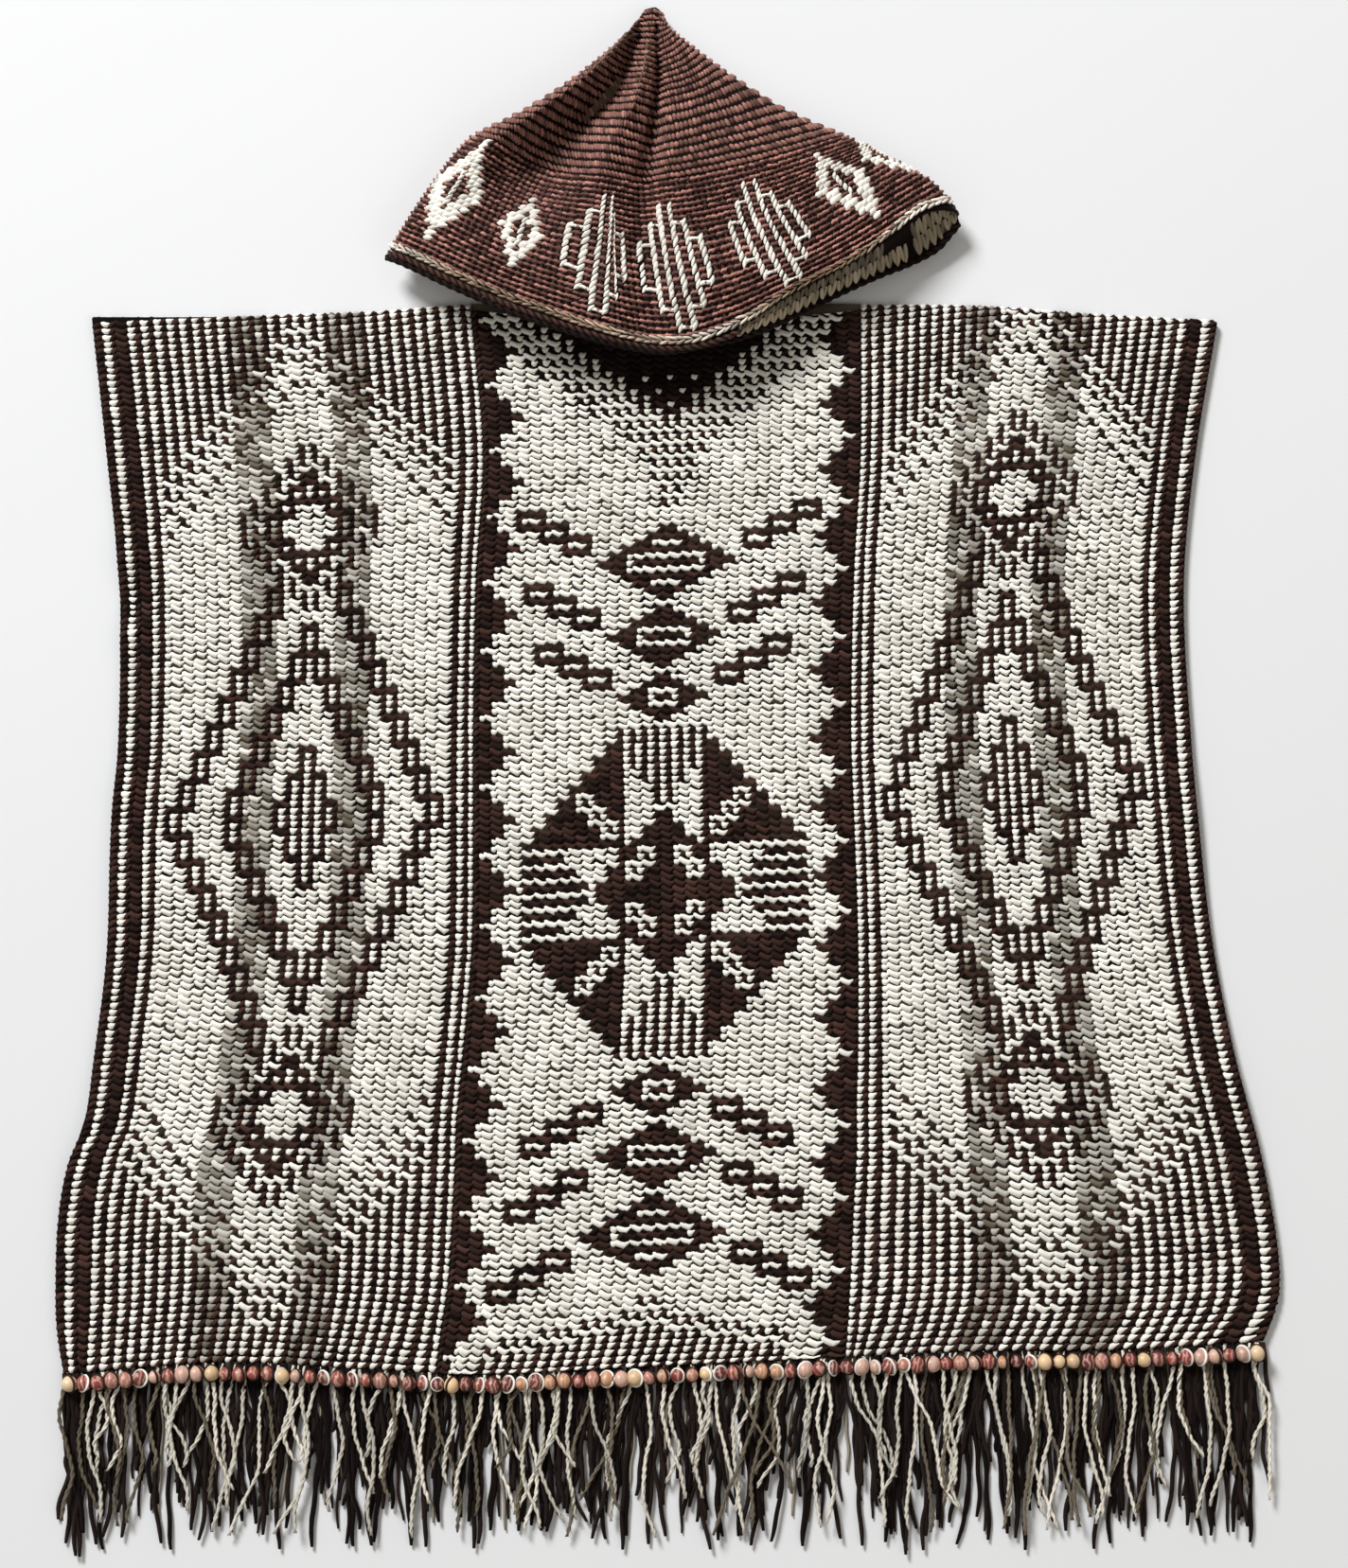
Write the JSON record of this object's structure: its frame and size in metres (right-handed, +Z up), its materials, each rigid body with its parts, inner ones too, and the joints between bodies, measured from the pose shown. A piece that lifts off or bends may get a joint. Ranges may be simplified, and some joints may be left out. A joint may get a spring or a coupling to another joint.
{
  "type": "poncho",
  "caption": "Hooded crochet poncho laid flat, with cream and brown geometric mosaic panels, a pointed ribbed hood, and a beaded hem with yarn fringe.",
  "frame": {"origin": "on the surface that the poncho lies on, in the middle of its outline", "axes": "+Z up off the surface, +Y from the fringe to the hood's tip, +X to the right of someone looking down on the front"},
  "size_m": [0.879, 1.113, 0.0481],
  "materials": {
    "side_yarn": "matt worsted yarn in cream, brown and marl, mosaic crochet",
    "centre_yarn": "matt worsted yarn in cream and dark brown, mosaic crochet",
    "crown_yarn": "red-brown yarn in ribbed rounds",
    "band_yarn": "dark brown yarn with cream motifs",
    "edging_yarn": "dark brown rope edging",
    "bead_clay": "hand-rolled polymer clay beads in terracotta, pink, cream and dark red",
    "tail_yarn": "loose tails of brown and cream yarn"
  },
  "bodies": {
    "root": {"side_strip_left": "side_yarn", "side_strip_right": "side_yarn", "centre_front": "centre_yarn", "centre_back": "centre_yarn", "hood_crown": "crown_yarn", "hood_band": "band_yarn", "hood_edging": "edging_yarn", "fringe_front": "bead_clay", "fringe_back": "tail_yarn"}
  },
  "joints": []
}
